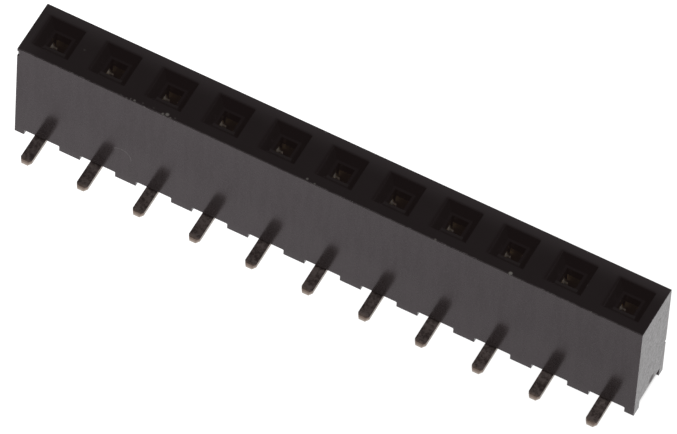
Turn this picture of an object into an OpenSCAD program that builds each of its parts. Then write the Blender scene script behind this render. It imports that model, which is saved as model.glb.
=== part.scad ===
// Surface-mount socket strip: one row of square sockets for 0.64 mm square pins.
// Every solder tail leaves along the board on the same long side of the housing.
// Millimetres, +Z up. The origin is the middle of the whole footprint, housing and
// tails together, on the board's surface. The tails point towards -Y.

/* [Strip] */
// Number of sockets in the row
positions = 11; // [2:1:40]
// Distance from one socket to the next
pitch = 2.54; // [2.4:0.01:3]
// Length lost at each end where the strip is parted from its neighbour
end_trim = 0.045; // [0:0.005:0.1]

/* [Housing] */
// Depth of the housing, front to back
body_d = 2.52; // [2.4:0.01:3.2]
// Height of the housing's top above the board
body_h = 5.68; // [5:0.01:9]
// Radius along the long top edges
edge_r = 0.03; // [0.01:0.01:0.1]
// Depth of the rail that carries the front feet
front_rail_d = 0.45; // [0.3:0.01:0.55]
// Depth of the rail that carries the back feet
back_rail_d = 0.33; // [0.2:0.01:0.6]
// Height of the hollow between the front and back rails
channel_h = 0.52; // [0.48:0.01:0.6]
// Free space beside the tail in its notch, on each side
notch_side_room = 0.545; // [0.3:0.005:0.65]
// Free space over the tail in its notch
tail_headroom = 0.1; // [0.03:0.01:0.15]
// Radius of the notches' upper corners
notch_r = 0.05; // [0.02:0.01:0.1]

/* [Socket mouth] */
// Side of the square pin that the socket takes
pin_w = 0.64; // [0.5:0.01:0.7]
// Free space between the pin and the mouth, on each side
pin_clearance = 0.045; // [0.02:0.005:0.1]
// Side of the lead-in at the top face
lead_in_w = 1.56; // [1.3:0.01:1.8]
// Depth of the lead-in
lead_in_depth = 0.35; // [0.2:0.01:0.6]
// Width of the flat ledge round the mouth
ledge_w = 0.12; // [0.05:0.01:0.2]
// Length of the straight mouth under the lead-in
mouth_len = 0.41; // [0.2:0.01:0.8]
// How far the contact's web stands back from the mouth's back wall
web_setback = 0.03; // [0:0.005:0.06]

/* [Contact] */
// Thickness of the contact's sheet metal
sheet_t = 0.2; // [0.12:0.01:0.24]
// Width of the solder tail
tail_w = 0.51; // [0.3:0.01:0.6]
// How far the tail reaches in front of the housing
tail_reach = 1.27; // [0.8:0.01:2]
// Width of the tail at its tip
tail_tip_w = 0.28; // [0.1:0.01:0.3]
// Length of the tail's tapered tip
tail_tip_len = 0.17; // [0.05:0.01:0.4]
// How far the tail's cut end leans back from the board up
tail_tip_lean = 0.05; // [0.01:0.01:0.1]
// Sideways step from the socket's middle to the tail's middle
tail_step = 0.085; // [0:0.005:0.15]
// Inside radius of the bend from the tail into the web
bend_r = 0.12; // [0.05:0.01:0.16]
// How far the spring arms give way to the pin, each
arm_travel = 0.07; // [0.03:0.005:0.1]
// Free space behind each spring arm
arm_room = 0.1; // [0.08:0.01:0.16]
// Width of a spring arm, front to back
arm_w = 0.66; // [0.4:0.01:0.7]
// Slot between the spring arms and the web
arm_slot = 0.06; // [0.04:0.01:0.12]
// How much narrower a spring arm is above its grip
tip_relief = 0.1; // [0.02:0.01:0.2]
// Distance from the arms' tips down to where they grip the pin
grip_drop = 0.45; // [0.3:0.01:1]
// Free space between the contact's top and the chamber's ceiling
top_gap = 0.05; // [0.02:0.01:0.2]
// Height of the cradle that joins the web to both arms
cradle_h = 1; // [0.6:0.05:1.2]
// Height of the barbed ears that hold the contact in the housing
ear_h = 0.75; // [0.6:0.05:0.9]
// How far each barbed ear stands out past the chamber's side
ear_bite = 0.12; // [0.08:0.01:0.2]
// Free space round the ears, front and back and on top
ear_fit = 0.02; // [0.01:0.005:0.05]

/* [Hidden] */
function contact_name(i) = str("contact_", i < 10 ? "0" : "", i);

cut = 1;             // how far a cutting solid runs past the face it opens
round_fn = 48;       // segments given to every true curve
arm_steps = 14;      // straight steps along each half of a spring arm's curve

body_l = positions * pitch - 2 * end_trim;
body_y = tail_reach / 2;            // middle of the housing in the footprint

mouth_w = pin_w + 2 * pin_clearance;
ledge_span = mouth_w + 2 * ledge_w;
chamber_top = body_h - lead_in_depth - mouth_len;

web_front = mouth_w / 2 + web_setback;
web_back = web_front + sheet_t;
bend_out_r = bend_r + sheet_t;

// Inner faces of the spring arms, measured from the socket's middle
lip_x = mouth_w / 2 + arm_travel / 2;
grip_x = pin_w / 2 - arm_travel;
cradle_x = lip_x;
arm_out_x = cradle_x + sheet_t;
arm_back = web_front - arm_slot;
arm_front = arm_back - arm_w;

chamber_x = arm_out_x + arm_room;
chamber_back = web_back + arm_room / 2;
chamber_front = arm_front - arm_room;

contact_top = chamber_top - top_gap;
grip_z = contact_top - grip_drop;
ear_x = chamber_x + ear_bite;
ear_z = channel_h + bend_r;
cradle_z = ear_z + ear_h + sheet_t;
cradle_top = cradle_z + cradle_h;
web_x = cradle_x - bend_r / 2;      // half width of the web above and below the cradle
cradle_r = sheet_t * 1.25;          // outer radius of the cradle's two folds
barb_h = ear_h / 3;

notch_w = tail_w + 2 * notch_side_room;
notch_h = sheet_t + tail_headroom;
channel_front = front_rail_d - body_d / 2;
channel_back = body_d / 2 - back_rail_d;

function socket_x(i) = (i - (positions + 1) / 2) * pitch;

// Half of a cosine wave: 0 at t = 0 and 1 at t = 1, level at both ends
function ease(t) = (1 - cos(180 * t)) / 2;

// A box between two corners
module box(low, high) translate(low) cube(high - low);

// A rectangle whose two back corners are rounded
module back_rounded(half_x, front, back, r) {
    translate([-half_x, front]) square([2 * half_x, back - r - front]);
    translate([r - half_x, front]) square([2 * (half_x - r), back - front]);
    for (side = [-1, 1]) translate([side * (half_x - r), back - r]) circle(r = r, $fn = round_fn);
}

/* ---- Housing ---- */

// The moulding's outline seen from its end, with both top edges rounded
module body_section() {
    translate([-body_d / 2, 0]) square([body_d, body_h - edge_r]);
    translate([edge_r - body_d / 2, 0]) square([body_d - 2 * edge_r, body_h]);
    for (side = [-1, 1])
        translate([side * (body_d / 2 - edge_r), body_h - edge_r])
            circle(r = edge_r, $fn = round_fn);
}

module body_block()
    translate([-body_l / 2, 0, 0]) rotate([90, 0, 90])
        linear_extrude(body_l) body_section();

// One pair of the lead-in's slopes, as a prism along Y that is open above the top face
module lead_in_prism() {
    slope = (lead_in_w - ledge_span) / 2 / lead_in_depth;
    top_x = lead_in_w / 2 + slope * cut;
    floor_x = ledge_span / 2;
    translate([0, lead_in_w, body_h - lead_in_depth]) rotate([90, 0, 0])
        linear_extrude(2 * lead_in_w) polygon([
            [-floor_x, 0], [floor_x, 0],
            [top_x, lead_in_depth + cut], [-top_x, lead_in_depth + cut]
        ]);
}

// Square funnel that guides the pin: four slopes down to a flat ledge
module lead_in() intersection() {
    lead_in_prism();
    rotate(90) lead_in_prism();
}

// Straight square mouth between the ledge and the chamber
module mouth()
    box([-mouth_w / 2, -mouth_w / 2, chamber_top - cut / 2],
        [mouth_w / 2, mouth_w / 2, body_h - lead_in_depth + cut / 2]);

// Room for the spring arms, open at the underside
module chamber() {
    box([-chamber_x, chamber_front, 0], [chamber_x, chamber_back, chamber_top]);
    box([-ear_x, web_front - ear_fit, 0],
        [ear_x, web_back + ear_fit, ear_z + ear_h + ear_fit]);
}

// Gap between two feet, through the front and the back rail
module foot_notch()
    translate([0, body_d / 2 + cut, 0]) rotate([90, 0, 0])
        linear_extrude(body_d + 2 * cut) back_rounded(notch_w / 2, -cut, notch_h, notch_r);

// Hollow that runs along the whole underside between the two rails
module channel()
    box([-body_l / 2 - cut, channel_front, -cut], [body_l / 2 + cut, channel_back, channel_h]);

// Small nick in an upright edge: side is -1 or 1 for left or right and front or back
module edge_nick(side, nick_w, nick_z, nick_len)
    translate([side[0] * body_l / 2, side[1] * body_d / 2, nick_z])
        rotate(45) translate([-nick_w, -nick_w, 0]) cube([2 * nick_w, 2 * nick_w, nick_len]);

module housing()
    color([0.13, 0.12, 0.125]) translate([0, body_y, 0]) difference() {
        body_block();
        channel();
        edge_nick([-1, -1], 0.06, body_h - 0.46, 0.3);
        edge_nick([1, 1], 0.05, body_h - 3.72, 0.2);
        for (i = [1 : positions]) translate([socket_x(i), 0, 0]) {
            lead_in();
            mouth();
            chamber();
            foot_notch();
        }
    }

/* ---- Contact ---- */

// A quarter plane that reaches back to y = back and up from z = low, with its corner rounded
module corner_area(front, back, low, high, r) {
    translate([front, low + r]) square([back - front, high - low - r]);
    translate([front, low]) square([back - r - front, high - low]);
    translate([back - r, low + r]) circle(r = r, $fn = round_fn);
}

// The strip seen from the side: the tail on the board, the bend and the riser
module strip_side() {
    high = ear_z + barb_h;
    tip_y = -body_d / 2 - tail_reach;
    lean = tail_tip_lean / sheet_t;
    difference() {
        corner_area(tip_y, web_back, 0, high, bend_out_r);
        corner_area(tip_y - cut, web_front, sheet_t, high + cut, bend_r);
        polygon([
            [tip_y - lean * cut, -cut], [tip_y + lean * cut, cut],
            [tip_y - cut, cut], [tip_y - cut, -cut]
        ]);
    }
}

// The strip seen from above: its full width, with the tail's tapered tip
module strip_plan() {
    tip_y = -body_d / 2 - tail_reach;
    polygon([
        [-tail_w / 2, web_back], [-tail_w / 2, tip_y + tail_tip_len],
        [-tail_tip_w / 2, tip_y], [tail_tip_w / 2, tip_y],
        [tail_w / 2, tip_y + tail_tip_len], [tail_w / 2, web_back]
    ]);
}

// Solder tail with its bend and riser
module tail() intersection() {
    translate([-tail_w, 0, 0]) rotate([90, 0, 90]) linear_extrude(2 * tail_w) strip_side();
    translate([0, 0, -cut]) linear_extrude(body_h) strip_plan();
}

// The flat blank behind the socket: barbed ears and the web up to the contact's top
module web_outline() {
    translate([-web_x, ear_z]) square([2 * web_x, contact_top - ear_z]);
    for (side = [-1, 1]) for (row = [0, 1]) scale([side, 1]) barb(ear_z + row * ear_h / 2);
}

// One barb of an ear: it slopes out on the way up, and its crest bears on the housing
module barb(z) polygon([
    [0, z], [ear_x - ear_bite / 2, z], [ear_x, z + barb_h / 3],
    [ear_x, z + barb_h], [ear_x - ear_bite, z + ear_h / 2], [0, z + ear_h / 2]
]);

module web()
    translate([0, web_back, 0]) rotate([90, 0, 0]) linear_extrude(sheet_t) web_outline();

// The web's two wings folded forward, which carry the spring arms
module cradle()
    translate([0, 0, cradle_z]) linear_extrude(cradle_h) difference() {
        back_rounded(arm_out_x, arm_front, web_back, cradle_r);
        translate([0, -cut]) back_rounded(cradle_x, arm_front, web_front + cut, cradle_r - sheet_t);
    }

// Distance of an arm's inner face from the socket's middle at a height
function arm_x(z) = z < grip_z
    ? cradle_x + (grip_x - cradle_x) * ease((z - cradle_top) / (grip_z - cradle_top))
    : grip_x + (lip_x - grip_x) * pow((z - grip_z) / grip_drop, 2);

// Spring arm seen from the middle of its socket, with its narrower tip
module arm_outline() polygon([
    [arm_front, 0], [arm_back, 0], [arm_back, grip_z], [arm_back - tip_relief, grip_z],
    [arm_back - tip_relief, contact_top + cut], [arm_front, contact_top + cut]
]);

// Spring arm: it leans in to grip the pin, then its tip flares out to let the pin in
module spring_arm() {
    lower = [for (s = [0 : arm_steps]) cradle_top + (grip_z - cradle_top) * s / arm_steps];
    upper = [for (s = [1 : arm_steps]) grip_z + grip_drop * s / arm_steps];
    heights = concat([cradle_top - sheet_t], lower, upper);
    inner = [for (z = heights) [z < cradle_top ? cradle_x : arm_x(z), z]];
    outer = [for (k = [len(inner) - 1 : -1 : 0]) inner[k] + [sheet_t, 0]];
    intersection() {
        translate([0, arm_back, 0]) rotate([90, 0, 0])
            linear_extrude(arm_w) polygon(concat(inner, outer));
        rotate([90, 0, 90]) linear_extrude(chamber_x) arm_outline();
    }
}

module contact(i)
    color([0.72, 0.6, 0.36]) translate([socket_x(i), body_y, 0]) {
        translate([-tail_step, 0, 0]) tail();
        web();
        cradle();
        spring_arm();
        mirror([1, 0, 0]) spring_arm();
    }

housing();
for (i = [1 : positions]) contact(i);
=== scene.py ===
"""Looks of the surface-mount socket strip: finishes, small wear, light and camera."""

import math

import bmesh
import bpy
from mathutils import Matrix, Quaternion, Vector


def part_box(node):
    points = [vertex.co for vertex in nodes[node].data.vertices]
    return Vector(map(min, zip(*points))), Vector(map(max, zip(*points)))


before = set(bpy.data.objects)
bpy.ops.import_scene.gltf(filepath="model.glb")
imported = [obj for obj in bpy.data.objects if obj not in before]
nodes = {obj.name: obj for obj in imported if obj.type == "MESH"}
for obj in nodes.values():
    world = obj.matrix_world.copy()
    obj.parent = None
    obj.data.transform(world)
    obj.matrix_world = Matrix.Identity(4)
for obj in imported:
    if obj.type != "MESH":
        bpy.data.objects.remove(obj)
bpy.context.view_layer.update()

# The strip runs along x. Its solder tails point forward, towards -y, and it stands on z = 0.
MM = 0.001
contacts = sorted(name for name in nodes if name.startswith("contact_"))
housing_low, housing_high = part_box("housing")
middle = (housing_low + housing_high) / 2
left_x, right_x = housing_low.x, housing_high.x
front_y, back_y = housing_low.y, housing_high.y
middle_y = (front_y + back_y) / 2
top_z = housing_high.z
row_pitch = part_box(contacts[1])[0].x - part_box(contacts[0])[0].x
tail_tip_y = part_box(contacts[0])[0].y
skin = 0.02 * MM  # how deep an outer face counts as that face

# The moulding's colours.
BLACK, CLOUDED_BLACK = (0.0070, 0.0066, 0.0068), (0.0095, 0.0088, 0.0091)
# Painted light: the front's colour where it is painted paler towards the left end.
PAINTED_LIGHT_FRONT_LEFT = (0.0085, 0.0070, 0.0079)
# Painted sheen on the top, towards its back edge and near its left end.
PAINTED_SHEEN_TOP = (0.0215, 0.0200, 0.0205)
PALE_FLECK = (0.0300, 0.0270, 0.0285)
# Painted floor light on the front, at its foot and under the top.
PAINTED_FLOOR_LIGHT_FRONT = (0.0380, 0.0345, 0.0350)
# Scuffs near the front's foot, where it is also painted paler as painted floor light.
SCUFF_AND_PAINTED_LIGHT = (0.052, 0.051, 0.050)
# Painted shade and painted light inside the sockets.
SOCKET_PAINTED_SHADE = (0.0034, 0.0031, 0.0032)
SOCKET_SIDE_PAINTED_LIGHT = (0.0062, 0.0056, 0.0058)
SOCKET_LEDGE_PAINTED_LIGHT = (0.0085, 0.0080, 0.0080)
SAWN_DARK, SAWN_PALE = (0.022, 0.0215, 0.0215), (0.070, 0.0685, 0.069)
SAWN_FLECK, SAWN_PIT = (0.110, 0.108, 0.109), (0.016, 0.0155, 0.0155)
TORN = (0.020, 0.014, 0.012)
CHIP = (0.16, 0.15, 0.152)
RUBBED_EDGE = (0.035, 0.032, 0.033)
BURR = (0.060, 0.056, 0.056)
CRUMB = (0.12, 0.115, 0.105)
SCRATCH = (0.085, 0.080, 0.080)

# The contacts' colours.
GOLD_DARK, GOLD_BRIGHT = (0.32, 0.250, 0.160), (0.42, 0.335, 0.220)
# Painted glint on the contacts' arms and shoulders.
PAINTED_GLINT_GOLD = (0.98, 0.88, 0.78)
TIN_DARK, TIN_BRIGHT = (0.165, 0.138, 0.129), (0.44, 0.370, 0.345)
DULL_TIN_DARK, DULL_TIN_BRIGHT = (0.090, 0.073, 0.068), (0.290, 0.240, 0.222)
RUBBED_TIN = (0.64, 0.48, 0.38)
CUT_DARK, CUT_BRIGHT = (0.11, 0.08, 0.065), (0.25, 0.19, 0.16)
CUT_FOOT = (0.46, 0.40, 0.35)
CUT_SIDE = (0.30, 0.26, 0.23)


# ---- Shader maths -------------------------------------------------------------------


class Shade:
    """A number that changes over a surface. Arithmetic on it adds Math nodes."""

    def __init__(self, tree, socket):
        self.tree, self.socket = tree, socket

    def math(self, operation, *others):
        return self.tree.node("ShaderNodeMath", {"operation": operation}, self, *others)

    def reflected(self, operation, other):
        return self.tree.node("ShaderNodeMath", {"operation": operation}, other, self)

    def __add__(self, other):
        return self.math("ADD", other)

    def __radd__(self, other):
        return self.reflected("ADD", other)

    def __sub__(self, other):
        return self.math("SUBTRACT", other)

    def __rsub__(self, other):
        return self.reflected("SUBTRACT", other)

    def __mul__(self, other):
        return self.math("MULTIPLY", other)

    def __rmul__(self, other):
        return self.reflected("MULTIPLY", other)

    def __pow__(self, other):
        return self.math("POWER", other)

    def __gt__(self, other):
        return self.math("GREATER_THAN", other)

    def __lt__(self, other):
        return self.math("LESS_THAN", other)

    def most(self, other):
        """The larger of the two."""
        return self.math("MAXIMUM", other)

    def wrap(self, half):
        """The same number brought back to between -half and half, over and over."""
        return self.math("WRAP", half, -half)

    def within(self, low, high):
        """0 up to low, 1 from high on, smooth between them. low may be the higher one."""
        return self.tree.node(
            "ShaderNodeMapRange", {"interpolation_type": "SMOOTHSTEP"}, self, low, high, 0.0, 1.0
        )

    def between(self, low, high, soft):
        """1 well between low and high, 0 outside them, with a change soft wide inside."""
        return self.within(low, low + soft) * self.within(high, high - soft)


def close_to(reach, *pairs):
    """1 on a line or point and 0 from reach metres away. pairs hold value and place."""
    squares = 0.0
    for value, place in pairs:
        squares = (value - place) ** 2.0 + squares
    return 1 - (squares ** 0.5).within(0.0, reach)


class ShaderTree:
    """The nodes of a material or of the room, added one at a time with node()."""

    def __init__(self, owner):
        owner.use_nodes = True
        self.node_tree = owner.node_tree

    def node(self, kind, settings, *values, output=0, **named):
        """Adds a node: its settings first, then values or links for its sockets."""
        made = self.node_tree.nodes.new(kind)
        for key, value in settings.items():
            if key == "stops":
                self.fill_ramp(made.color_ramp, value)
            else:
                setattr(made, key, value)
        for k, value in enumerate(values):
            self.feed(made.inputs[k], value)
        for key, value in named.items():
            self.feed(made.inputs[key.replace("_", " ")], value)
        return Shade(self, made.outputs[output])

    def fill_ramp(self, ramp, stops):
        """Grey stops, each a place along the ramp and a level."""
        while len(ramp.elements) < len(stops):
            ramp.elements.new(1.0)
        for element, (place, level) in zip(ramp.elements, stops):
            element.position = place
            element.color = (level, level, level, 1.0)

    def feed(self, socket, value):
        """Links a shade to the socket, or sets the socket's own number, vector or colour."""
        if isinstance(value, Shade):
            self.node_tree.links.new(value.socket, socket)
        elif hasattr(socket.default_value, "__len__") and len(socket.default_value) == 4:
            socket.default_value = (*value, 1.0)
        else:
            socket.default_value = value


class Finish(ShaderTree):
    """One material. Its shader's sockets are set by name with set()."""

    def __init__(self, name):
        self.material = bpy.data.materials.new(name)
        super().__init__(self.material)
        self.shader = self.node_tree.nodes["Principled BSDF"]
        self.point = self.node("ShaderNodeTexCoord", {}, output="Object")

    def set(self, **sockets):
        for key, value in sockets.items():
            self.feed(self.shader.inputs[key.replace("_", " ")], value)

    def axis(self, letter, source=None):
        """One coordinate of a vector, by default of the point in the object's frame."""
        return self.node("ShaderNodeSeparateXYZ", {}, source or self.point, output=letter)

    def facing(self, letter):
        """How much the surface faces along an axis, from -1 to 1."""
        normal = self.node("ShaderNodeNewGeometry", {}, output="True Normal")
        return self.axis(letter, normal)

    def stretched(self, x, y, z):
        """The point with each coordinate multiplied, for grain that runs along one way."""
        return self.node(
            "ShaderNodeVectorMath", {"operation": "MULTIPLY"}, self.point, (x, y, z)
        )

    def noise(self, size, detail=2.0, rough=0.5, where=None, seed=0.0):
        """Soft blotches from 0 to 1, about size metres across."""
        return self.node(
            "ShaderNodeTexNoise", {"noise_dimensions": "4D"},
            Vector=where or self.point, W=seed, Scale=1.0 / size, Detail=detail, Roughness=rough,
        )

    def blend(self, factor, first, second):
        """The first colour where factor is 0 and the second where it is 1."""
        mixed = self.node("ShaderNodeMix", {"data_type": "RGBA"}, factor, output=2)
        colour_sockets = mixed.socket.node.inputs[6:8]
        for socket, colour in zip(colour_sockets, (first, second)):
            self.feed(socket, colour)
        return mixed

    def relief(self, height, depth):
        """A normal from heights between 0 and 1, where 1 stands depth metres proud."""
        return self.node("ShaderNodeBump", {}, Height=height, Strength=1.0, Distance=depth)


# ---- The housing's finish -----------------------------------------------------------


def worn_edges(x, y, z):
    """1 on the housing's outer edges, falling to 0 a little way from them."""
    front, back, left, right = (y, front_y), (y, back_y), (x, left_x), (x, right_x)
    top, foot = (z, top_z), (z, 0.0)
    edges = [
        (0.07, front, top), (0.05, back, top), (0.06, right, front), (0.05, right, top),
        (0.05, right, back), (0.05, left, front), (0.05, left, top), (0.05, left, back),
        (0.06, front, foot), (0.05, back, foot),
    ]
    rubbed = 0.0
    for reach, one_face, other_face in edges:
        rubbed = close_to(reach * MM, one_face, other_face).most(rubbed)
    return rubbed


def pale_crumbs(finish, x, y, z):
    """Burrs along one stretch of the front of the top, and a few stray specks."""
    stretch = x.between(left_x + 4.5 * MM, left_x + 7.5 * MM, 0.5 * MM)
    by_the_edge = 1 - y.within(front_y + 0.05 * MM, front_y + 0.18 * MM)
    crumb_size = 0.19 * MM
    cells = finish.node("ShaderNodeTexVoronoi", {}, Vector=finish.point, Scale=1 / crumb_size)
    crumbs = stretch * by_the_edge * (1 - cells.within(0.16, 0.36))
    # Across from the strip's middle, behind the front edge and reach, in mm, then strength.
    specks = [
        (-7.24, 0.12, 0.13, 1.0), (-0.98, 0.12, 0.09, 0.7), (-0.62, 0.05, 0.08, 0.6),
        (4.75, 0.04, 0.09, 0.7), (8.06, 0.08, 0.13, 1.4), (11.65, 0.0, 0.07, 0.8),
        (10.91, 1.06, 0.09, 0.3), (-11.57, 1.24, 0.08, 0.15),
    ]
    for across, behind, reach, strength in specks:
        speck = close_to(reach * MM, (x, across * MM), (y, front_y + behind * MM), (z, top_z))
        crumbs = (strength * speck.within(0.1, 0.7)).most(crumbs)
    return crumbs


def curved_scratch(x, z):
    """A thin arc scratched into the front, to the right of the second tail."""
    centre_x, centre_z = left_x + 4.79 * MM, 1.6 * MM
    radius, half_width = 0.455 * MM, 0.04 * MM
    out = ((x - centre_x) ** 2.0 + (z - centre_z) ** 2.0) ** 0.5
    ring = close_to(half_width, (out, radius))
    return ring * (x > centre_x - 0.32 * MM) * (z > centre_z - 0.07 * MM)


def front_marks_and_painted_light(finish, base, x, z, on_front, drawn, flecks):
    """The front: painted light to the left, drawn and mottled, painted floor light at the foot
    and under the top.
    """
    # Painted light: the front is painted paler towards the left end.
    base = finish.blend(on_front * x.within(right_x, left_x), base, PAINTED_LIGHT_FRONT_LEFT)
    base = finish.blend(0.30 * on_front * drawn.within(0.42, 0.58), base, PALE_FLECK)
    mottled = on_front * flecks.within(0.42, 0.66)
    base = finish.blend(0.55 * mottled, base, PALE_FLECK)
    # Painted floor light: the front is painted paler at its foot and under the top.
    low_painted_light = 1 - z.within(1.6 * MM, 3.0 * MM)
    high_painted_light = 0.3 * z.within(4.4 * MM, 5.2 * MM)
    base = finish.blend(0.24 * (on_front * low_painted_light.most(high_painted_light)), base, PAINTED_FLOOR_LIGHT_FRONT)
    # Scuffed near the foot, and painted paler there as painted floor light.
    scuffed_and_painted_light = on_front * (1 - z.within(0.0, 0.6 * MM))
    return finish.blend(scuffed_and_painted_light * (0.14 + 0.46 * flecks), base, SCUFF_AND_PAINTED_LIGHT)


def painted_socket_shade(finish, base, x, y, z, on_top, sideways):
    """Painted shade down the sockets and round their rims, with painted light on their right
    sides and front ledges.
    """
    wall, mouth_half = 0.1 * MM, 0.36 * MM
    rim_left, rim_right = -0.97 * MM, 0.86 * MM
    rim_front, rim_back = middle_y - 0.85 * MM, middle_y + 0.91 * MM
    across = x.wrap(row_pitch / 2)
    sunk = (
        x.between(left_x, right_x, skin)
        * y.between(front_y + wall, back_y - wall, wall)
        * z.within(top_z, top_z - skin)
    )
    # Painted shade round each funnel's rim, reaching further on its left and back.
    rim = (
        on_top
        * across.between(rim_left, rim_right, 0.2 * MM)
        * y.between(rim_front, rim_back, 0.15 * MM)
    )
    # Painted shade down the sockets, painted light on their right-hand sides and on their front
    # ledges.
    base = finish.blend(sunk.most(rim), base, SOCKET_PAINTED_SHADE)
    base = finish.blend(sunk * (sideways < -0.3), base, SOCKET_SIDE_PAINTED_LIGHT)
    return finish.blend(sunk * on_top * (y < middle_y - mouth_half), base, SOCKET_LEDGE_PAINTED_LIGHT)


def sawn_plastic(finish, streaks, flecks):
    """The sawn right end: pale streaks, paler flecks and dark specks."""
    base = finish.blend(streaks, SAWN_DARK, SAWN_PALE)
    base = finish.blend(0.4 * flecks.within(0.5, 0.66), base, SAWN_FLECK)
    return finish.blend(0.6 * flecks.within(0.46, 0.34), base, SAWN_PIT)


def torn_spots(x, y, z, flecks):
    """A torn spot near the foot of the sawn end, and a small pit near its top."""
    torn = close_to(0.34 * MM, (y, middle_y + 0.17 * MM), (z, 0.80 * MM), (x, right_x))
    pit = close_to(0.13 * MM, (y, middle_y + 0.36 * MM), (z, 4.74 * MM), (x, right_x))
    return (torn * (0.6 + flecks)).within(0.1, 0.7).most(pit)


def moulded_plastic():
    """Satin black moulding: front with painted light, sockets with painted shade, painted sheen
    at the back edge, sawn end, worn edges.
    """
    finish = Finish("satin_black_moulding")
    x, y, z = (finish.axis(letter) for letter in "XYZ")
    upward, sideways, forward = (finish.facing(letter) for letter in "ZXY")
    cloud = finish.noise(0.9 * MM, detail=3, seed=3.0)
    grain = finish.noise(0.05 * MM, detail=3)
    flecks = finish.noise(0.09 * MM, detail=4, rough=0.6, seed=11.0)
    patches = finish.noise(1.7 * MM, detail=2, seed=19.0)
    drawn = finish.noise(0.3 * MM, detail=4, where=finish.stretched(1, 1, 0.12), seed=23.0)
    streaks = finish.noise(
        0.2 * MM, detail=5, rough=0.65, where=finish.stretched(1, 1.0, 0.6), seed=7.0
    ).within(0.25, 0.75)
    sawn = (sideways > 0.9) * (x > right_x - skin)
    on_top = upward > 0.98
    on_front = forward < -0.9

    base = finish.blend(cloud, BLACK, CLOUDED_BLACK)
    # Painted sheen: the top is painted paler towards the back edge, where the back light catches
    # it, and half as much near the left end.
    painted_top_sheen = on_top * y.within(middle_y, back_y + 0.2 * MM) ** 1.5
    painted_top_sheen = painted_top_sheen.most(0.5 * on_top * x.within(left_x + 1.2 * MM, left_x))
    base = finish.blend(painted_top_sheen, base, PAINTED_SHEEN_TOP)
    base = front_marks_and_painted_light(finish, base, x, z, on_front, drawn, flecks)
    base = painted_socket_shade(finish, base, x, y, z, on_top, sideways)
    base = finish.blend(sawn, base, sawn_plastic(finish, streaks, flecks))
    torn = torn_spots(x, y, z, flecks)
    base = finish.blend(torn * 0.7, base, TORN)

    rubbed = worn_edges(x, y, z)
    chipped = rubbed * flecks.within(0.50, 0.62) * patches.within(0.42, 0.6)
    base = finish.blend(chipped, base, CHIP)
    base = finish.blend(rubbed * 0.25, base, RUBBED_EDGE)
    burr = close_to(0.07 * MM, (y, front_y), (z, top_z)) * drawn.within(0.25, 0.6)
    base = finish.blend(burr * 0.65, base, BURR)
    crumbs = pale_crumbs(finish, x, y, z) * on_top.most(rubbed > 0.1)
    base = finish.blend(crumbs * (0.3 + flecks), base, CRUMB)
    base = finish.blend(0.8 * (curved_scratch(x, z) * on_front), base, SCRATCH)

    satin, relief_depth = 0.165, 0.004 * MM
    rough = satin + 0.04 * cloud + 0.25 * chipped + 0.2 * painted_top_sheen + 0.2 * torn
    rough = rough + sawn * (0.08 + 0.12 * streaks)
    height = grain * 0.08 + sawn * streaks * 3 - chipped + crumbs
    smeared = 0.05 + 0.34 * streaks + 0.24 * flecks.within(0.4, 0.62)
    finish.set(
        Base_Color=base, Roughness=rough, Normal=finish.relief(height, relief_depth),
        Coat_Weight=sawn * smeared * (1 - 0.7 * torn), Coat_Roughness=0.28,
        IOR=1.315, Specular_Tint=(1.0, 0.72, 0.86),
    )
    return finish.material


# ---- The contacts' finish -----------------------------------------------------------


def spring_gold(finish, y, z, upward, sideways, cloud):
    """Dull gold, with a painted glint in lines along the arms and on their shoulders."""
    gold = finish.blend(cloud, GOLD_DARK, GOLD_BRIGHT)
    # Painted glint: bright lines and a spot on each arm, and the shoulders' tops, stand in for
    # the glint of light inside each socket.
    glint_y, glint_z = middle_y + 0.075 * MM, 4.77 * MM
    spot_out, spot_up, spot_reach = 0.01 * MM, 0.02 * MM, 0.13 * MM
    half_width, offset, lowest_z = 0.06 * MM, 0.012 * MM, 4.2 * MM
    shoulder_low, shoulder_high, soft = 4.3 * MM, 4.6 * MM, 0.02 * MM
    out, up = y - glint_y, z - glint_z
    down_line = close_to(half_width, (out * 0.879 + up * 0.477, offset))
    up_line = close_to(half_width, (up * 0.743 - out * 0.669, offset))
    spot = close_to(spot_reach, (out, spot_out), (up, spot_up))
    painted_glint = spot.most(down_line * (up < spot_up)).most(up_line * (out > 0.0))
    painted_glint = painted_glint * (sideways * sideways > 0.1) * (z > lowest_z)
    shoulder_glint = (upward > 0.9) * z.between(shoulder_low, shoulder_high, soft)
    return finish.blend(painted_glint.within(0.0, 0.7).most(shoulder_glint), gold, PAINTED_GLINT_GOLD)


def tinned_tail(finish, y, cloud, fine):
    """Mottled tin, duller towards the middle of the tail's length."""
    mottle = (0.65 * cloud + 0.35 * fine).within(0.38, 0.60)
    dull = close_to(0.55 * MM, (y, front_y - 0.70 * MM))
    tin = finish.blend(mottle, TIN_DARK, TIN_BRIGHT)
    return finish.blend(dull, tin, finish.blend(mottle, DULL_TIN_DARK, DULL_TIN_BRIGHT))


def cut_metal(finish, z, fine):
    """The bare cut end of a tail, paler towards the board."""
    pale_height = 0.17 * MM
    bare = finish.blend(fine, CUT_DARK, CUT_BRIGHT)
    return finish.blend(0.8 * (1 - z.within(0.0, pale_height)), bare, CUT_FOOT)


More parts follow.
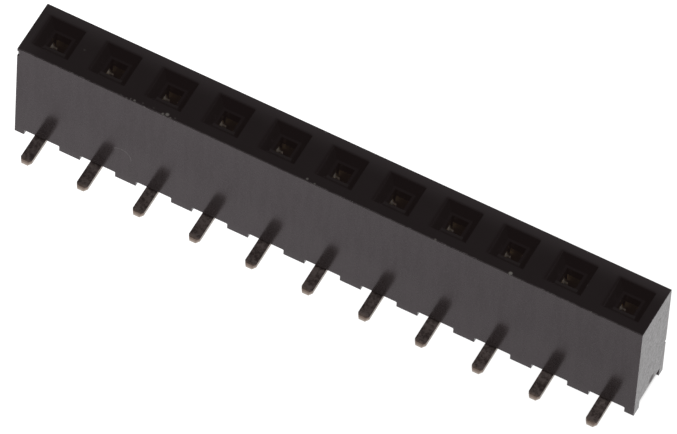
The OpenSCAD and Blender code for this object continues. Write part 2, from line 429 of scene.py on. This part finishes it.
def plated_strip():
    """Thinly plated copper alloy strip: dull gold inside, tinned tail, bare cut edges."""
    finish = Finish("plated_contact_strip")
    y, z = (finish.axis(letter) for letter in "YZ")
    upward, forward, sideways = (finish.facing(letter) for letter in "ZYX")
    cloud = finish.noise(0.15 * MM, detail=3)
    fine = finish.noise(0.035 * MM, detail=3, seed=5.0)

    low = 1 - z.within(0.2 * MM, 0.6 * MM)
    in_front = 1 - y.within(middle_y - 0.6 * MM, middle_y)
    tinned = low * in_front
    cut_end = tinned * (forward < -0.3)
    cut_side = tinned * ((sideways > 0.9).most(sideways < -0.9))
    near_tip = 1 - y.within(tail_tip_y, tail_tip_y + 0.22 * MM)
    rubbed = tinned * near_tip * (upward > 0.9)

    base = spring_gold(finish, y, z, upward, sideways, cloud)
    base = finish.blend(tinned, base, tinned_tail(finish, y, cloud, fine))
    base = finish.blend(cut_end, base, cut_metal(finish, z, fine))
    base = finish.blend(cut_side * 0.7, base, CUT_SIDE)
    base = finish.blend(rubbed * (0.45 + 0.5 * fine), base, RUBBED_TIN)
    semi_matt, relief_depth = 0.38, 0.001 * MM
    finish.set(
        Base_Color=base, Metallic=1.0, Roughness=semi_matt + 0.08 * cloud + tinned * 0.05,
        Normal=finish.relief(fine, relief_depth),
    )
    return finish.material


def put_on(obj, material):
    """Gives the object this material alone."""
    obj.data.materials.clear()
    obj.data.materials.append(material)


put_on(nodes["housing"], moulded_plastic())
contact_finish = plated_strip()
for name in contacts:
    put_on(nodes[name], contact_finish)


# ---- Floor, light and camera --------------------------------------------------------


def towards(azimuth, elevation):
    """Unit vector to a place round the strip: azimuth 0 is in front, 90 is to the right."""
    turn, rise = math.radians(azimuth), math.radians(elevation)
    return Vector((
        math.sin(turn) * math.cos(rise), -math.cos(turn) * math.cos(rise), math.sin(rise)
    ))


def pale_floor():
    """White board that glows from below, with painted light stronger to the left and a painted
    shadow under the strip.
    """
    finish = Finish("pale_floor")
    x, y = finish.axis("X"), finish.axis("Y")
    rim = 0.25 * MM
    lit, painted_shadow = (1.0, 1.0, 1.0), (0.22, 0.21, 0.2)
    painted_left_glow, fall = 1.2, 0.2
    # Painted shadow under the strip.
    under = x.between(left_x, right_x, rim) * y.between(front_y + rim, back_y, rim)
    glow = finish.blend(under, lit, painted_shadow)
    # Painted light: the glow is stronger to the left.
    painted_side_light = painted_left_glow - fall * x.within(left_x, right_x)
    glow = finish.node(
        "ShaderNodeVectorMath", {"operation": "SCALE"}, glow, Scale=painted_side_light
    )
    finish.set(
        Base_Color=(0.1, 0.1, 0.1), Roughness=1.0, Specular_IOR_Level=0.0,
        Emission_Color=glow, Emission_Strength=1.0,
    )
    return finish.material


def add_floor():
    """Square board that the strip stands on, set just clear of the tails' undersides."""
    half_side, clearance = 0.6, 0.002 * MM
    mesh = bpy.data.meshes.new("floor")
    shape = bmesh.new()
    bmesh.ops.create_grid(shape, x_segments=1, y_segments=1, size=half_side)
    shape.to_mesh(mesh)
    shape.free()
    floor = bpy.data.objects.new("floor", mesh)
    floor.location.z = -clearance
    bpy.context.scene.collection.objects.link(floor)
    put_on(floor, pale_floor())


def add_soft_light(name, azimuth, elevation, width, radiance):
    """Round soft light that faces the strip. radiance is its own brightness."""
    distance = 0.5
    lamp = bpy.data.lights.new(name, "AREA")
    lamp.shape = "DISK"
    lamp.size = width
    lamp.energy = radiance * math.pi * math.pi * (width / 2) ** 2
    holder = bpy.data.objects.new(name, lamp)
    way = towards(azimuth, elevation)
    holder.location = middle + way * distance
    holder.rotation_mode = "QUATERNION"
    holder.rotation_quaternion = (-way).to_track_quat("-Z", "Y")
    bpy.context.scene.collection.objects.link(holder)


def set_room():
    """Dim room with a white skirt just over the horizon."""
    world = bpy.data.worlds.new("room")
    room = ShaderTree(world)
    way = room.node("ShaderNodeTexCoord", {}, output="Generated")
    rise = room.node("ShaderNodeSeparateXYZ", {}, way, output="Z")
    skirt, skirt_top = 1.0, 0.03
    stops = [(0.0, skirt), (skirt_top, skirt), (0.05, 0.03), (0.6, 0.06), (1.0, 0.09)]
    level = room.node("ShaderNodeValToRGB", {"stops": stops}, rise)
    room.feed(room.node_tree.nodes["Background"].inputs["Color"], level)
    bpy.context.scene.world = world


def add_camera():
    """Long lens from above the front right, leaning a little."""
    distance, turn, rise, lean = 454.5 * MM, 24.322, 55.592, 4.270
    aim = middle + Vector((0.091, -0.260, -0.173)) * MM
    lens = bpy.data.cameras.new("camera")
    lens.lens, lens.sensor_width = 610.5, 36.0
    lens.clip_start, lens.clip_end = 0.05, 5.0
    camera = bpy.data.objects.new("camera", lens)
    back = towards(turn, rise)
    camera.location = aim + back * distance
    camera.rotation_mode = "QUATERNION"
    rolled = Quaternion((0.0, 0.0, 1.0), math.radians(lean))
    camera.rotation_quaternion = (-back).to_track_quat("-Z", "Y") @ rolled
    bpy.context.scene.collection.objects.link(camera)
    bpy.context.scene.camera = camera


def set_exposure():
    """Plain display, with the faint warm veil that a bright floor throws over blacks."""
    veil = (0.0065, 0.0042, 0.0040)
    view = bpy.context.scene.view_settings
    view.view_transform = "Standard"
    view.use_curve_mapping = True
    view.curve_mapping.black_level = [-amount for amount in veil]
    view.curve_mapping.update()


add_floor()
set_room()
for name, azimuth, elevation, width, radiance in [
    ("back_light", 138.0, 54.0, 0.16, 20.0),
    ("right_light", 85.0, 60.0, 0.16, 14.0),
    ("front_fill", -35.0, 60.0, 0.36, 0.5),
]:
    add_soft_light(name, azimuth, elevation, width, radiance)
add_camera()
set_exposure()
